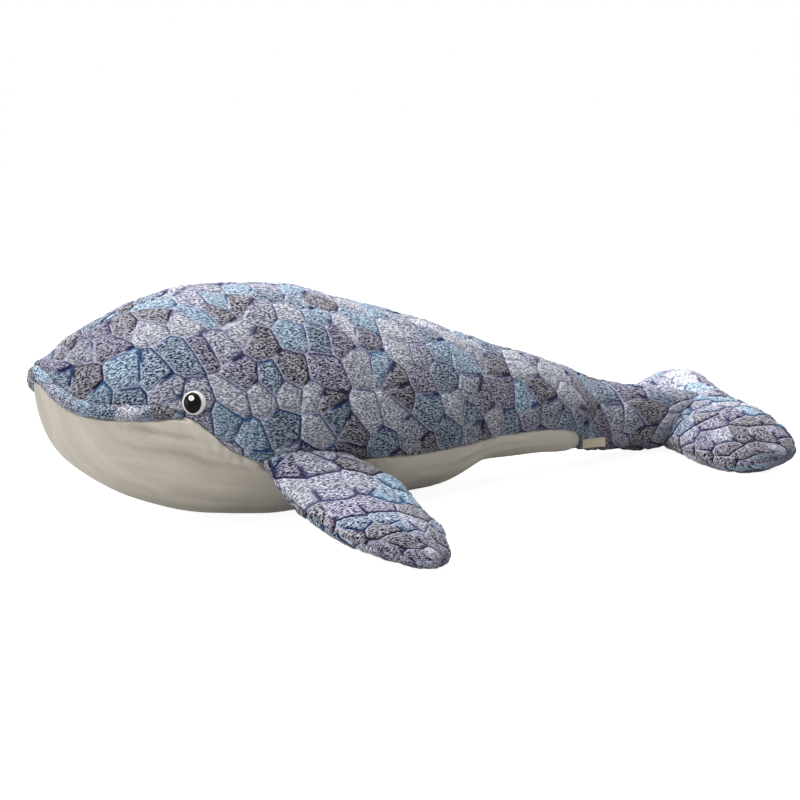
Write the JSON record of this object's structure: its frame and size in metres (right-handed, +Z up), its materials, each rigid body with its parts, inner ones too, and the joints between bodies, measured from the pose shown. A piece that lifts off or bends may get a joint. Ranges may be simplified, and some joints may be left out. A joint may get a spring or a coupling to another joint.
{
  "type": "plush whale",
  "caption": "Stuffed toy whale lying on its belly, mosaic fleece over a cream belly, with flippers and flukes that flex at their sewn roots.",
  "frame": {"origin": "middle of the toy's bounding box, on the surface that it lies on", "axes": "+X from nose to flukes, +Y to the toy's right side, +Z up"},
  "size_m": [0.8452, 0.5258, 0.2274],
  "materials": {
    "fleece": "short-pile fleece with an embossed mosaic in blues, purples and greys",
    "plush": "smooth short cream plush",
    "filling": "loose white fibre filling",
    "thread": "matte sewing thread",
    "eye_white": "satin white plastic",
    "eye_black": "polished black plastic",
    "washer": "plain moulded plastic",
    "label": "woven tape, bare"
  },
  "bodies": {
    "body": {"body_stuffing": "filling", "side_panel_left": "fleece", "side_panel_right": "fleece", "belly_panel": "plush", "lip_roll_cover": "fleece", "lip_roll_stuffing": "filling", "back_seam_thread": "thread", "underside_seam_thread": "thread", "throat_seam_thread_left": "thread", "throat_seam_thread_right": "thread", "belly_seam_thread": "thread", "eye_rim_left": "eye_white", "eye_pupil_left": "eye_black", "eye_washer_left": "washer", "eye_rim_right": "eye_white", "eye_pupil_right": "eye_black", "eye_washer_right": "washer"},
    "flipper_left": {"flipper_left_stuffing": "filling", "flipper_left_upper_panel": "fleece", "flipper_left_lower_panel": "fleece", "flipper_left_seam_thread": "thread"},
    "flipper_right": {"flipper_right_stuffing": "filling", "flipper_right_upper_panel": "fleece", "flipper_right_lower_panel": "fleece", "flipper_right_seam_thread": "thread"},
    "tail": {"tail_stuffing": "filling", "tail_panel_left": "fleece", "tail_panel_right": "fleece", "tail_back_seam_thread": "thread", "tail_underside_seam_thread": "thread", "fluke_centre_stuffing": "filling", "fluke_centre_upper_panel": "fleece", "fluke_centre_lower_panel": "fleece", "fluke_centre_seam_thread": "thread"},
    "fluke_left": {"fluke_left_stuffing": "filling", "fluke_left_upper_panel": "fleece", "fluke_left_lower_panel": "fleece", "fluke_left_seam_thread": "thread"},
    "fluke_right": {"fluke_right_stuffing": "filling", "fluke_right_upper_panel": "fleece", "fluke_right_lower_panel": "fleece", "fluke_right_seam_thread": "thread"},
    "label": {"care_label": "label"}
  },
  "joints": [
    {"name": "flipper_left_lift", "type": "hinge", "parent": "body", "child": "flipper_left", "pos_m": [-0.18933, -0.10887, 0.06861], "axis": [-0.9917, -0.0641, 0.1115], "range_deg": [-20, 50], "stiffness_Nm_per_rad": 0.4},
    {"name": "flipper_right_lift", "type": "hinge", "parent": "body", "child": "flipper_right", "pos_m": [-0.18933, 0.10887, 0.06861], "axis": [0.9917, -0.0641, -0.1115], "range_deg": [-20, 50], "stiffness_Nm_per_rad": 0.4},
    {"name": "tail_bend", "type": "hinge", "parent": "body", "child": "tail", "pos_m": [0.25867, 0, 0.03888], "axis": [0, -1, 0], "range_deg": [-12, 14], "stiffness_Nm_per_rad": 2.5},
    {"name": "fluke_left_fold", "type": "hinge", "parent": "tail", "child": "fluke_left", "pos_m": [0.3347, -0.05077, 0.02795], "axis": [-0.9327, 0.2326, -0.2756], "range_deg": [-28, 28], "stiffness_Nm_per_rad": 0.5},
    {"name": "fluke_right_fold", "type": "hinge", "parent": "tail", "child": "fluke_right", "pos_m": [0.35503, 0.03073, 0.02795], "axis": [0.9327, -0.2326, 0.2756], "range_deg": [-40, 16], "stiffness_Nm_per_rad": 0.5},
    {"name": "label_flap", "type": "hinge", "parent": "body", "child": "label", "pos_m": [0.16667, -0.0405, 0.034], "axis": [0, 0, -1], "range_deg": [0, 90], "stiffness_Nm_per_rad": 0.002}
  ]
}
